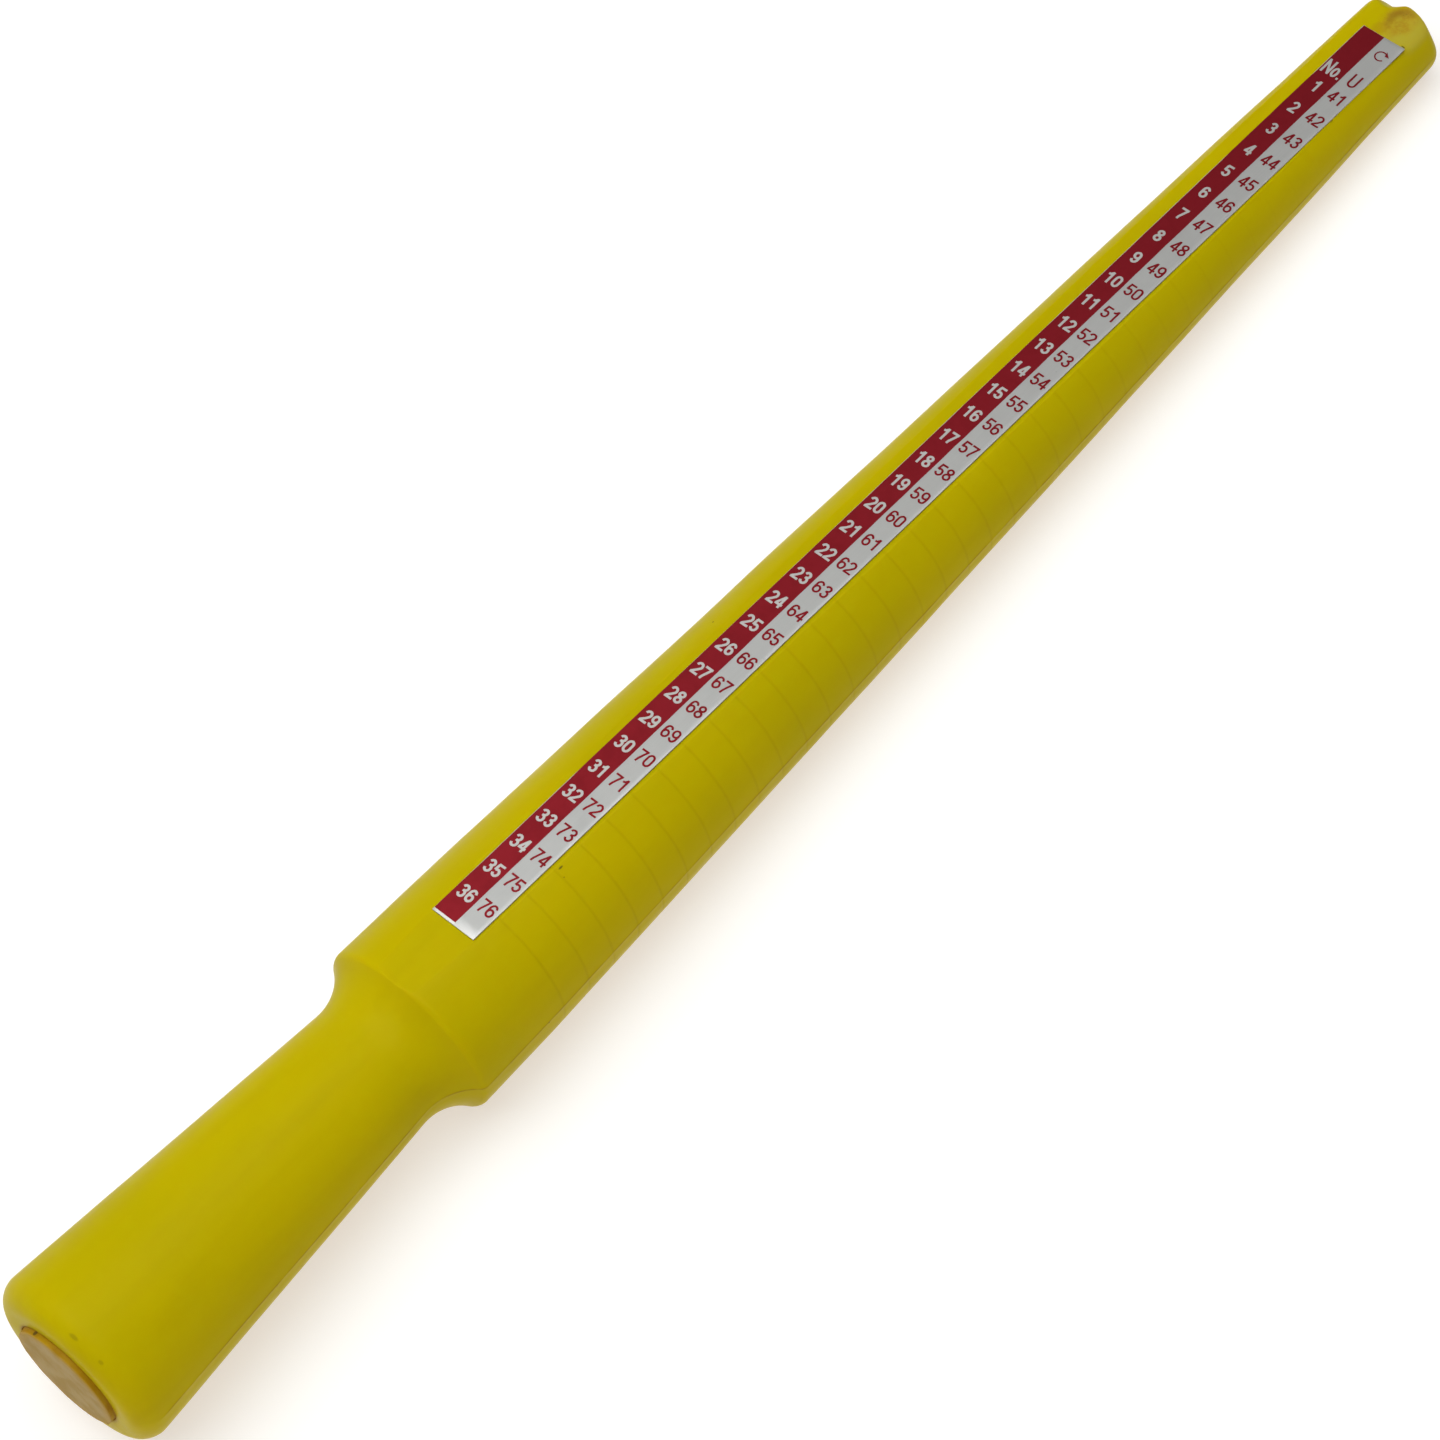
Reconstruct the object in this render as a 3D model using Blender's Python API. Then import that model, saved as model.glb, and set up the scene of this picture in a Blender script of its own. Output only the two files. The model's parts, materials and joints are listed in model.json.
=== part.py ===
"""Ring mandrel: a hollow tapered plastic stick for reading ring sizes.

A printed metal scale strip is taped to a lengthwise flat, and a plug closes the handle end.
The mandrel lies as it does on a bench, on the side of its cone with the scale uppermost:
+X runs towards the tip, +Z is up, and the origin is on the bench under the middle of the mandrel.
"""

import math

import bmesh
import bpy
from mathutils import Vector

MM = 0.001
SEGMENTS = 64

# A ring size is the ring's inner circumference in millimetres, so each size adds this much radius.
LARGEST_SIZE = 76
SIZE_SPACING = 4.57 * MM
RADIUS_PER_SIZE = MM / (2 * math.pi)
CONE_SLOPE = RADIUS_PER_SIZE / SIZE_SPACING

# Distances along the mandrel start at the plug's outer face and grow towards the tip.
HANDLE_END = 0.75 * MM
NECK = 55.1 * MM
SHOULDER = 57.95 * MM
LARGEST_MARK = 72.0 * MM
TIP = 250.5 * MM

HANDLE_END_RADIUS = 12.6 * MM
NECK_RADIUS = 8.69 * MM
SHOULDER_RADIUS = 12.4 * MM
SHOULDER_LAND = 13.2 * MM

HANDLE_END_ROUNDING = 3.2 * MM
NECK_ROUNDING = 7.4 * MM
SHOULDER_ROUNDING = 1.2 * MM
TIP_ROUNDING = 2.5 * MM

# The plug sits in a counterbore, and the moulding's tapered core hole carries on behind it.
GAP = 0.3 * MM
PLUG_RADIUS = 7.4 * MM
PLUG_LENGTH = 13 * MM
PLUG_NOSE_TAPER = 1.5 * MM
PLUG_EDGE = 0.25 * MM
CORE_RADIUS = 6.9 * MM
CORE_TIP_RADIUS = 2.4 * MM
CORE_TIP = 241 * MM
CORE_ROUNDING = 2 * MM

# The flat's height above the mandrel's axis at two places along it.
FLAT_AT_SHOULDER = 11.95 * MM
FLAT_SHOULDER_PLACE = 60 * MM
FLAT_AT_TIP = 4.42 * MM
FLAT_TIP_PLACE = 244 * MM

STRIP_START = 67.9 * MM
STRIP_LENGTH = 176.2 * MM
STRIP_WIDTH = 6.6 * MM
STRIP_THICKNESS = 0.3 * MM
STRIP_TIP_SHIFT = 0.95 * MM
TAPE_THICKNESS = 0.1 * MM
TAPE_GAP = 0.1 * MM
TAPE_MARGIN = 0.4 * MM


def size_radius(size):
    """The cone's radius at a ring size's mark."""
    return size * RADIUS_PER_SIZE


def cone_radius(place):
    """The cone's radius at a distance along the mandrel."""
    return size_radius(LARGEST_SIZE) - CONE_SLOPE * (place - LARGEST_MARK)


def material(name, colour, roughness, metallic=0.0):
    """A plain Principled material."""
    made = bpy.data.materials.new(name)
    made.use_nodes = True
    shader = made.node_tree.nodes["Principled BSDF"]
    shader.inputs["Base Color"].default_value = (*colour, 1.0)
    shader.inputs["Roughness"].default_value = roughness
    shader.inputs["Metallic"].default_value = metallic
    return made


def rounded(corner, before, after, radius, steps):
    """Points of the arc that rounds an outline's corner, from the side before it to the side after it."""
    corner = Vector(corner)
    to_before = (Vector(before) - corner).normalized()
    to_after = (Vector(after) - corner).normalized()
    half_angle = to_before.angle(to_after) / 2
    centre = corner + (to_before + to_after).normalized() * radius / math.sin(half_angle)
    start = corner + to_before * radius / math.tan(half_angle) - centre
    end = corner + to_after * radius / math.tan(half_angle) - centre
    turn = start.angle_signed(end)
    first = math.atan2(start.y, start.x)
    points = []
    for step in range(steps + 1):
        angle = first - turn * step / steps
        points.append((centre.x + radius * math.cos(angle), centre.y + radius * math.sin(angle)))
    return points


def body_outline():
    """The moulding's half section as (place, radius): outside from the handle to the tip, then the hole back."""
    mouth = (HANDLE_END, PLUG_RADIUS + GAP)
    end_corner = (HANDLE_END, HANDLE_END_RADIUS)
    neck = (NECK, NECK_RADIUS)
    shoulder = (SHOULDER, SHOULDER_RADIUS)
    land_end = (SHOULDER + SHOULDER_LAND, cone_radius(SHOULDER + SHOULDER_LAND))
    tip_corner = (TIP, cone_radius(TIP))
    tip_centre = (TIP, 0.0)
    outside = [mouth]
    outside += rounded(end_corner, mouth, neck, HANDLE_END_ROUNDING, 7)
    outside += rounded(neck, end_corner, shoulder, NECK_ROUNDING, 6)
    outside += rounded(shoulder, neck, land_end, SHOULDER_ROUNDING, 4)
    outside.append(land_end)
    outside += rounded(tip_corner, land_end, tip_centre, TIP_ROUNDING, 6)
    outside.append(tip_centre)

    ledge = PLUG_LENGTH + GAP
    core_tip_corner = (CORE_TIP, CORE_TIP_RADIUS)
    core_mouth = (ledge, CORE_RADIUS)
    hole = [(CORE_TIP, 0.0)]
    hole += rounded(core_tip_corner, (CORE_TIP, 0.0), core_mouth, CORE_ROUNDING, 4)
    hole += [core_mouth, (ledge, PLUG_RADIUS + GAP)]
    return outside + hole


def plug_outline():
    """The plug's half section as (place, radius), from its outer face to its nose."""
    return [
        (0.0, 0.0),
        (0.0, PLUG_RADIUS - PLUG_EDGE),
        (PLUG_EDGE, PLUG_RADIUS),
        (PLUG_LENGTH - PLUG_NOSE_TAPER, PLUG_RADIUS),
        (PLUG_LENGTH, PLUG_RADIUS - PLUG_NOSE_TAPER / 2),
        (PLUG_LENGTH, 0.0),
    ]


def add_object(name, shape, made_of, parent):
    """One named object from a bmesh, under a parent."""
    mesh = bpy.data.meshes.new(name)
    shape.to_mesh(mesh)
    shape.free()
    mesh.materials.append(made_of)
    added = bpy.data.objects.new(name, mesh)
    added.parent = parent
    bpy.context.scene.collection.objects.link(added)
    return added


def turned(name, outline, closed, made_of, parent):
    """A solid turned about the mandrel's axis from (place, radius) points."""
    shape = bmesh.new()
    points = [shape.verts.new((place, 0.0, radius)) for place, radius in outline]
    edges = [shape.edges.new(pair) for pair in zip(points, points[1:])]
    if closed:
        edges.append(shape.edges.new((points[-1], points[0])))
    bmesh.ops.spin(
        shape,
        geom=points + edges,
        axis=(1.0, 0.0, 0.0),
        cent=(0.0, 0.0, 0.0),
        angle=2 * math.pi,
        steps=SEGMENTS,
    )
    bmesh.ops.remove_doubles(shape, verts=shape.verts, dist=0.001 * MM)
    bmesh.ops.recalc_face_normals(shape, faces=shape.faces)
    added = add_object(name, shape, made_of, parent)
    added.data.shade_smooth()
    added.data.set_sharp_from_angle(angle=math.radians(35))
    return added


def bar(name, length, width, bottom, top, made_of, parent):
    """A flat bar centred on its parent, from one height to another."""
    shape = bmesh.new()
    bmesh.ops.create_cube(shape, size=1.0)
    for point in shape.verts:
        point.co.x *= length
        point.co.y *= width
        point.co.z = top if point.co.z > 0 else bottom
    return add_object(name, shape, made_of, parent)


def guide(name, location, rotation, parent=None):
    """An empty that places what hangs under it."""
    added = bpy.data.objects.new(name, None)
    added.location = location
    added.rotation_euler = rotation
    added.parent = parent
    bpy.context.scene.collection.objects.link(added)
    return added


def lying_axis():
    """The mandrel's own axis: tipped so that the underside of the cone lies along the bench."""
    lean = math.atan(CONE_SLOPE)
    middle = TIP / 2
    height = cone_radius(middle) * math.cos(lean) + middle * math.sin(lean)
    return guide("lying_axis", (-middle * math.cos(lean), 0.0, height), (0.0, lean, 0.0))


def flat_plane(axis):
    """The flat's plane, its origin under the middle of the strip."""
    fall = (FLAT_AT_SHOULDER - FLAT_AT_TIP) / (FLAT_TIP_PLACE - FLAT_SHOULDER_PLACE)
    middle = STRIP_START + STRIP_LENGTH / 2
    height = FLAT_AT_SHOULDER - fall * (middle - FLAT_SHOULDER_PLACE)
    return guide("flat_plane", (middle, 0.0, height), (0.0, math.atan(fall), 0.0), axis)


def build():
    for old in list(bpy.data.objects):
        bpy.data.objects.remove(old)

    yellow_plastic = material("yellow_plastic", (0.51, 0.44, 0.008), 0.38)
    cut_plastic = material("cut_plastic", (0.42, 0.30, 0.12), 0.6)
    printed_metal = material("printed_metal", (0.55, 0.55, 0.55), 0.35, 0.6)
    clear_tape = material("clear_tape", (0.6, 0.55, 0.4), 0.5)

    axis = lying_axis()
    flat = flat_plane(axis)
    skew = math.asin(STRIP_TIP_SHIFT / STRIP_LENGTH)
    strip_line = guide("strip_line", (0.0, -STRIP_TIP_SHIFT / 2, 0.0), (0.0, 0.0, -skew), flat)

    body = turned("mandrel_body", body_outline(), True, yellow_plastic, axis)
    above = 20 * MM
    cutter = bar("flat_cutter", 2 * TIP, 4 * HANDLE_END_RADIUS, 0.0, above, yellow_plastic, flat)
    cutter.location.x = TIP + NECK - STRIP_START - STRIP_LENGTH / 2
    cutter.hide_render = True
    cutter.display_type = "WIRE"
    flatten = body.modifiers.new("flat", "BOOLEAN")
    flatten.operation = "DIFFERENCE"
    flatten.solver = "EXACT"
    flatten.object = cutter

    turned("end_plug", plug_outline(), False, cut_plastic, axis)

    tape_top = TAPE_GAP + TAPE_THICKNESS
    tape_length = STRIP_LENGTH - 2 * TAPE_MARGIN
    tape_width = STRIP_WIDTH - 2 * TAPE_MARGIN
    bar("adhesive_tape", tape_length, tape_width, TAPE_GAP, tape_top, clear_tape, strip_line)
    strip_bottom = tape_top + TAPE_GAP
    strip_top = strip_bottom + STRIP_THICKNESS
    bar("scale_strip", STRIP_LENGTH, STRIP_WIDTH, strip_bottom, strip_top, printed_metal, strip_line)


build()
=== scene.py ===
"""Looks of the ring mandrel, built in the mandrel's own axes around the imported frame.

Along the mandrel, "place" is the distance from the plug's outer face. The mandrel's axes are:
+X towards the tip, +Z out of the flat, and +Y to the left of the scale when its numbers are read.
Sizes are in millimetres and points become metres when a mesh is made.
"""

import json
import math
import random

import bmesh
import bpy
from mathutils import Matrix, Vector, geometry, noise


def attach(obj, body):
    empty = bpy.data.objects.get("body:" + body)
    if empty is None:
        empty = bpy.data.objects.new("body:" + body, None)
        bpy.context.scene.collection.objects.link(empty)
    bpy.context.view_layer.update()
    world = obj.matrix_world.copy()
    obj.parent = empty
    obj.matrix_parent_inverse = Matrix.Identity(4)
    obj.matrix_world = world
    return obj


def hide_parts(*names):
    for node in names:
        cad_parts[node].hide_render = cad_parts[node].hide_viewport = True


MM = 0.001

# The scale: sizes are circumferences in millimetres, and the other column numbers the same marks.
SMALLEST_SIZE = 41
LARGEST_SIZE = 76
NUMBER_OFFSET = 40
SIZE_SPACING = 4.57
CONE_SLOPE = 1 / (2 * math.pi * SIZE_SPACING)

# Places along the body.
HANDLE_END = 0.75
NECK = 55.1
SHOULDER = 57.95
LARGEST_MARK = 72.0
TIP = 250.5

# Radii and roundings of the body.
HANDLE_END_RADIUS = 12.6
NECK_RADIUS = 8.69
SHOULDER_RADIUS = 12.4
SHOULDER_LAND = 13.2
HANDLE_END_ROUNDING = 3.2
NECK_ROUNDING = 7.4
SHOULDER_ROUNDING = 1.2
TIP_ROUNDING = 2.5
MOUTH_ROUNDING = 0.15

# The graduation grooves, deepest at the largest size.
GROOVE_HALF_WIDTH = 0.24
GROOVE_DEPTH = 0.032
GROOVE_DEPTH_AT_TIP = 0.008
# The profile gives shares of the half width across a groove, and the share of its depth there.
GROOVE_PROFILE = ((-1.6, 0.0), (-1.0, 0.0), (-0.5, 0.6), (0.0, 1.0), (0.5, 0.6), (1.0, 0.0), (1.6, 0.0))
BETWEEN_GROOVES = (0.33, 0.67)

# The plug, its seat and the tapered core behind it.
PLUG_RADIUS = 7.32
PLUG_GAP = 0.14
PLUG_LENGTH = 13.0
PLUG_EDGE = 0.2
PLUG_NOSE_TAPER = 1.5
AROUND_PLUG = 128
CORE_RADIUS = 6.9
CORE_TIP_RADIUS = 2.4
CORE_TIP = 241.0

# The flat's height above the axis at two places, and how soft its edges are: more so where worn.
FLAT_AT_SHOULDER = 11.95
FLAT_SHOULDER_PLACE = 60.0
FLAT_AT_TIP = 4.42
FLAT_TIP_PLACE = 244.0
FLAT_FALL = (FLAT_AT_SHOULDER - FLAT_AT_TIP) / (FLAT_TIP_PLACE - FLAT_SHOULDER_PLACE)
FLAT_EDGE_SOFTNESS = 0.04
FLAT_EDGE_WEAR_AT_TIP = 0.9
FLAT_EDGE_WEAR_PLACES = (234.0, 247.0)

# The strip and the layers under and on it.
STRIP_START = 67.8
STRIP_LENGTH = 176.2
STRIP_MIDDLE = STRIP_START + STRIP_LENGTH / 2
STRIP_WIDTH = 6.65
STRIP_THICKNESS = 0.2
STRIP_TIP_SHIFT = 0.95
TAPE_THICKNESS = 0.08
TAPE_MARGIN_ALONG = 0.25
TAPE_MARGIN_ACROSS = 0.15
TAPE_RAGGEDNESS = 0.08
STRIP_RAGGEDNESS = 0.004
SLAB_EDGE = 0.05
SLAB_DROOP = 0.02
SLAB_STATION_SPACING = 1.5
SLAB_LANES = 12
INK_THICKNESS = 0.012
INK_SUNK = 0.003
FIELD_MARGIN = 0.02
FIELD_WIDTH = 3.37
FIELD_EDGE = STRIP_WIDTH / 2 - FIELD_MARGIN - FIELD_WIDTH

# The lettering. Widths, strokes and gaps are shares of a character's height.
NUMERAL_HEIGHT = 1.98
HEADING_HEIGHTS = (2.5, 2.4)
HEADING_STROKES = (0.13, 0.12)
HEADING_RISE = 3.65
ARROW_RISE = 5.5
CHARACTER_WIDTHS = {"digit": 0.56, "N": 0.50, "o": 0.40, ".": 0.16, "U": 0.54}
CHARACTER_GAP = 0.06
OPEN_STROKE = 0.17
INKED_STROKE = 0.145
STROKE_UNSTEADINESS = 0.006

# The mould's parting lines run along both sides as fine ridges, with points at these distances across.
SEAM_HEIGHT = 0.06
SEAM_HALF_WIDTH = 0.3
SEAM_POINTS = (-0.3, -0.12, 0.0, 0.12, 0.3)

# Counts of points round a ring of the body.
AROUND_FLAT = 24
AROUND_SIDE = 24
AROUND_UNDER = 18

# What the torn gate left at the tip: dents, each with its centre, reach and depth, and a rough patch.
GATE_DENTS = (
    (Vector((250.7, 2.5, 4.3)), 2.7, Vector((-0.75, 0.0, -0.75))),
    (Vector((250.3, -4.2, 2.4)), 4.2, Vector((-0.42, 0.15, -0.1))),
)
PATCH_PLACE = 248.3
PATCH_ACROSS = -0.9
PATCH_LENGTHENED = 1.35
PATCH_REACH = 2.2
PATCH_DEPTH = 0.22
PATCH_GRAIN = 0.10
FLAT_AT_GATE = (3.2, 3.9)

# Faults on the plug's rim.
NICK_CENTRE = Vector((0.0, -0.8, 7.35))
NICK_REACH = 0.75
BURR_CENTRE = Vector((0.0, -5.9, -4.4))
BURR_REACH = 0.55


# --- Where things are ---


def mandrel_axes(record):
    """The matrix from the mandrel's axes to the row frame, from the record's mount on the handle end."""
    mount = record["mounts"][0]
    along = -Vector(mount["axis"])
    across = Vector((0.0, 1.0, 0.0))
    up = along.cross(across)
    turned = Matrix((along, across, up)).transposed().to_4x4()
    return Matrix.Translation(Vector(mount["pos_m"])) @ turned


def cone_radius(place):
    return LARGEST_SIZE / (2 * math.pi) - CONE_SLOPE * (place - LARGEST_MARK)


def flat_height(place):
    return FLAT_AT_SHOULDER - FLAT_FALL * (place - FLAT_SHOULDER_PLACE)


def mark_place(size):
    """Where a size's groove and numerals are."""
    return LARGEST_MARK + (LARGEST_SIZE - size) * SIZE_SPACING


def strip_axes():
    """The matrix from the strip's axes (origin under its middle, +X towards the tip) to the mandrel's."""
    skew = math.asin(STRIP_TIP_SHIFT / STRIP_LENGTH)
    move = Matrix.Translation((STRIP_MIDDLE, -STRIP_TIP_SHIFT / 2, flat_height(STRIP_MIDDLE)))
    tip_down = Matrix.Rotation(math.atan(FLAT_FALL), 4, "Y")
    return move @ tip_down @ Matrix.Rotation(-skew, 4, "Z")


# --- Mesh helpers ---


def smooth_step(value, start, end):
    """0 before start, 1 after end, and a smooth change between them."""
    share = min(1.0, max(0.0, (value - start) / (end - start)))
    return share * share * (3 - 2 * share)


def soft_min(one, other, softness):
    """The lesser of two numbers, with the corner between them rounded off."""
    near = max(softness - abs(one - other), 0.0) / softness
    return min(one, other) - near * near * softness / 4


def bump_at(distance, reach):
    """A smooth hill: 1 at its centre and 0 beyond its reach."""
    if distance >= reach:
        return 0.0
    return (1 - (distance / reach) ** 2) ** 2


def rounded(corner, before, after, radius, steps):
    """Points of the arc that rounds an outline's corner, from the side before it to the one after."""
    corner = Vector(corner)
    to_before = (Vector(before) - corner).normalized()
    to_after = (Vector(after) - corner).normalized()
    half_angle = to_before.angle(to_after) / 2
    centre = corner + (to_before + to_after).normalized() * radius / math.sin(half_angle)
    start = corner + to_before * radius / math.tan(half_angle) - centre
    end = corner + to_after * radius / math.tan(half_angle) - centre
    turn = start.angle_signed(end)
    first = math.atan2(start.y, start.x)
    points = []
    for step in range(steps + 1):
        angle = first - turn * step / steps
        points.append((centre.x + radius * math.cos(angle), centre.y + radius * math.sin(angle)))
    return points


def filled(points, longest):
    """The same outline with extra points wherever two lie further apart than longest."""
    dense = [points[0]]
    for start, end in zip(points, points[1:]):
        steps = max(1, math.ceil(math.dist(start, end) / longest))
        for step in range(1, steps + 1):
            share = step / steps
            place = start[0] + (end[0] - start[0]) * share
            radius = start[1] + (end[1] - start[1]) * share
            dense.append((place, radius))
    return dense


def new_object(name, data):
    added = bpy.data.objects.new(name, data)
    bpy.context.scene.collection.objects.link(added)
    return added


def mesh_from(name, shape, made_of):
    mesh = bpy.data.meshes.new(name)
    shape.to_mesh(mesh)
    shape.free()
    mesh.materials.append(made_of)
    return mesh


def piece_from(name, shape, made_of, replaced, axes):
    """A shown piece from a bmesh in millimetres in its own axes.

    It rides on the root body, takes a material slot and stands for a CAD node.
    """
    for point in shape.verts:
        point.co *= MM
    mesh = mesh_from(name, shape, made_of)
    mesh.transform(axes)
    piece = new_object(name, mesh)
    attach(piece, "root")
    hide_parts(replaced)
    return piece


def skin(rings, loop):
    """A closed bmesh through rings of points. The first and the last ring are single points."""
    shape = bmesh.new()
    first = shape.verts.new(rings[0][0])
    last = shape.verts.new(rings[-1][0])
    rows = [[shape.verts.new(point) for point in ring] for ring in rings[1:-1]]
    for column in range(loop):
        after = (column + 1) % loop
        shape.faces.new((first, rows[0][after], rows[0][column]))
        shape.faces.new((last, rows[-1][column], rows[-1][after]))
        for row, below in zip(rows, rows[1:]):
            shape.faces.new((row[column], row[after], below[after], below[column]))
    bmesh.ops.recalc_face_normals(shape, faces=shape.faces)
    return shape


def finish_shading(piece, sharpest):
    piece.data.shade_smooth()
    piece.data.set_sharp_from_angle(angle=math.radians(sharpest))


# --- Body ---


def groove_rings():
    """Rings along the cone as (place, depth of the groove there), with a shallow groove at each size."""
    rings = []
    for size in range(LARGEST_SIZE, SMALLEST_SIZE - 1, -1):
        place = mark_place(size)
        share = (LARGEST_SIZE - size) / (LARGEST_SIZE - SMALLEST_SIZE)
        depth = GROOVE_DEPTH + (GROOVE_DEPTH_AT_TIP - GROOVE_DEPTH) * share
        for across, cut in GROOVE_PROFILE:
            rings.append((place + across * GROOVE_HALF_WIDTH, cut * depth))
        for between in BETWEEN_GROOVES:
            rings.append((place + between * SIZE_SPACING, 0.0))
    return rings


def outside_outline():
    """The body's outside as (place, radius, groove depth), from the plug's hole to the tip."""
    mouth = (HANDLE_END, PLUG_RADIUS + PLUG_GAP)
    end_corner = (HANDLE_END, HANDLE_END_RADIUS)
    neck = (NECK, NECK_RADIUS)
    shoulder = (SHOULDER, SHOULDER_RADIUS)
    land_end = (SHOULDER + SHOULDER_LAND, cone_radius(SHOULDER + SHOULDER_LAND))
    inside_mouth = (HANDLE_END + PLUG_LENGTH, mouth[1])

    points = rounded(mouth, inside_mouth, end_corner, MOUTH_ROUNDING, 4)
    points += rounded(end_corner, mouth, neck, HANDLE_END_ROUNDING, 14)
    points += rounded(neck, end_corner, shoulder, NECK_ROUNDING, 14)
    points += rounded(shoulder, neck, land_end, SHOULDER_ROUNDING, 12)
    points.append(land_end)
    rings = [(place, radius, 0.0) for place, radius in filled(points, 1.2)]
    rings += [(place, cone_radius(place), groove) for place, groove in groove_rings()]
    tip_corner = (TIP, cone_radius(TIP))
    tip_outline = [rings[-1][:2]] + rounded(tip_corner, land_end, (TIP, 0.0), TIP_ROUNDING, 16)
    tip_outline.append((TIP, 0.3))
    rings += [(place, radius, 0.0) for place, radius in filled(tip_outline, 0.5)[1:]]
    return rings


def hole_outline():
    """The moulding's hole as (place, radius, no groove), from its blind end out to the plug's seat."""
    ledge = PLUG_LENGTH + PLUG_GAP
    points = [
        (CORE_TIP, CORE_TIP_RADIUS - 1.2),
        (CORE_TIP - 1.0, CORE_TIP_RADIUS),
        (ledge + 0.1, CORE_RADIUS),
        (ledge, CORE_RADIUS + 0.1),
        (ledge, PLUG_RADIUS + PLUG_GAP - 0.1),
        (ledge - 0.1, PLUG_RADIUS + PLUG_GAP),
    ]
    return [(place, radius, 0.0) for place, radius in points]


def crowded(steps, crowding):
    """Numbers from 0 to 1 that crowd together at both ends."""
    shares = [step / steps for step in range(steps)]
    return [share - crowding * math.sin(2 * math.pi * share) / (2 * math.pi) for share in shares]


def ring_angles(edge, radius):
    """Angles round a ring from the flat's normal, crowded at the flat's edges and the parting lines."""
    angles = [edge * (2 * share - 1) for share in crowded(AROUND_FLAT, 0.85)]
    seam = [math.pi / 2 + offset / max(radius, 3.0) for offset in SEAM_POINTS]
    side = [edge + (seam[0] - edge) * (step / AROUND_SIDE) ** 1.5 for step in range(AROUND_SIDE)]
    left_over = math.pi - seam[-1]
    under = [seam[-1] + left_over * (step + 1) / AROUND_UNDER for step in range(AROUND_UNDER)]
    half = side + seam + under
    return angles + half + [2 * math.pi - angle for angle in reversed(half[1:-1])]


def body_waviness(point):
    """The moulding's slight unevenness, in millimetres outwards."""
    slow = noise.noise(point / 21.0 + Vector((3.1, 0.0, 7.0)))
    quick = noise.noise(point / 7.0 + Vector((0.0, 5.2, 1.0)))
    return 0.10 * slow + 0.025 * quick


def tip_scoop(point):
    """Where a point near the tip goes because the gate was torn off there."""
    moved = point.copy()
    for centre, reach, depth in GATE_DENTS:
        moved += depth * bump_at((point - centre).length, reach)
    from_patch = math.hypot((point.x - PATCH_PLACE) / PATCH_LENGTHENED, point.y - PATCH_ACROSS)
    patch = bump_at(from_patch, PATCH_REACH) * smooth_step(point.z, *FLAT_AT_GATE)
    grain = noise.noise(point / 0.55) + 0.6 * noise.noise(point / 0.23)
    moved.z -= patch * (PATCH_DEPTH + PATCH_GRAIN * grain)
    return moved


def groove_wear(place, angle):
    """How much of a groove's depth is left round the cone: it is clearest to the right of the scale."""
    to_right = 0.5 - 0.5 * math.sin(angle)
    patchy = noise.noise(Vector((place / 11.0, 1.7 * math.sin(angle), 1.7 * math.cos(angle))))
    return (0.15 + 0.85 * smooth_step(to_right, 0.35, 0.75)) * (0.8 + 0.5 * patchy)


def body_ring(place, radius, groove, outside):
    """One ring of the body's points. The flat is cut beyond the neck."""
    height = flat_height(place)
    nominal = math.acos(FLAT_AT_SHOULDER / SHOULDER_RADIUS)
    cut = outside and place > NECK
    edge = nominal
    if cut and radius > height:
        edge = max(nominal, math.acos(height / radius))
    points = []
    for angle in ring_angles(edge, radius):
        reach = radius
        if outside:
            straight = Vector((place, radius * math.sin(angle), radius * math.cos(angle)))
            between_ends = smooth_step(place, 8.0, 20.0) * smooth_step(TIP - place, 2.0, 9.0)
            off_bench = smooth_step(math.cos(angle), -0.98, -0.7)
            reach += body_waviness(straight) * between_ends * off_bench
            off_ends = smooth_step(min(place, TIP - place), 2.5, 5.0)
            reach += SEAM_HEIGHT * bump_at(abs(straight.z), SEAM_HALF_WIDTH) * off_ends
            reach -= groove * groove_wear(place, angle)
        if cut and math.cos(angle) > 0.1:
            worn = FLAT_EDGE_WEAR_AT_TIP * smooth_step(place, *FLAT_EDGE_WEAR_PLACES)
            softness = FLAT_EDGE_SOFTNESS + worn
            reach = soft_min(reach, height / math.cos(angle), softness)
        point = Vector((place, reach * math.sin(angle), reach * math.cos(angle)))
        if outside and place > TIP - 8.0:
            point = tip_scoop(point)
        points.append(point)
    return points


def make_body(made_of, axes):
    outside = [body_ring(*ring, True) for ring in outside_outline()]
    inside = [body_ring(*ring, False) for ring in hole_outline()]
    tip_point = tip_scoop(Vector((TIP, 0.0, 0.0)))
    hole_point = Vector((CORE_TIP, 0.0, 0.0))
    rings = [[hole_point]] + inside + outside + [[tip_point]]
    shape = skin(rings, len(outside[0]))
    body = piece_from("moulded_body", shape, made_of, "mandrel_body", axes)
    finish_shading(body, 50)


# --- Plug ---


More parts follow.
